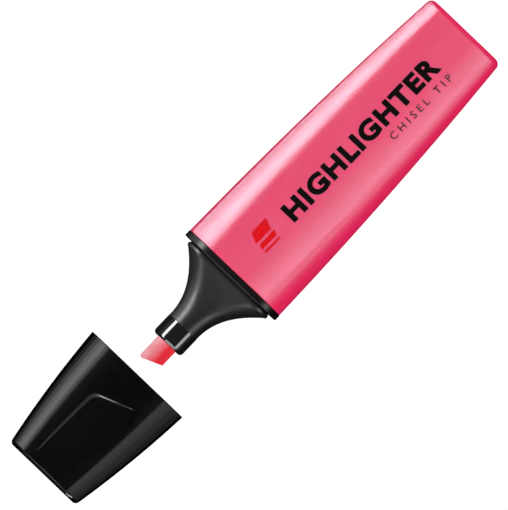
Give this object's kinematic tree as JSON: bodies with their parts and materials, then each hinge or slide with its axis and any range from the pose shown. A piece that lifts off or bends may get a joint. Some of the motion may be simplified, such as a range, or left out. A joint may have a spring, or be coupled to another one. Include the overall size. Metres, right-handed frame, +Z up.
{
  "type": "highlighter pen",
  "caption": "Flat, tapered highlighter with a slanted chisel nib, a fibre ink reservoir and a pull-off cap with an inner sealing sleeve.",
  "frame": {"origin": "middle of the barrel's flat back face, on the surface that the pen lies on", "axes": "+Z up out of the pen's broad front, +X along the pen towards the nib and the cap, Y across its width"},
  "size_m": [0.1331, 0.027, 0.0175],
  "materials": {
    "barrel_plastic": "glossy moulded polypropylene, pink",
    "front_plastic": "fine matt texture on flange and shoulder, polished nozzle",
    "nib_fibre": "bonded polyester fibre soaked with pink ink",
    "reservoir_fibre": "fibre filler soaked with pink ink",
    "film_plastic": "thin milky film",
    "cap_plastic": "polished black",
    "inner_cap_plastic": "plain moulded black"
  },
  "bodies": {
    "pen": {"barrel": "barrel_plastic", "front_section": "front_plastic", "nib": "nib_fibre", "reservoir_core": "reservoir_fibre", "reservoir_film": "film_plastic"},
    "cap": {"cap_shell": "cap_plastic", "inner_cap": "inner_cap_plastic"}
  },
  "joints": [
    {"name": "cap_slide", "type": "slide", "parent": "pen", "child": "cap", "axis": [0.9999, 0, 0.0162], "range_m": [-0.02905, 0.02]}
  ]
}
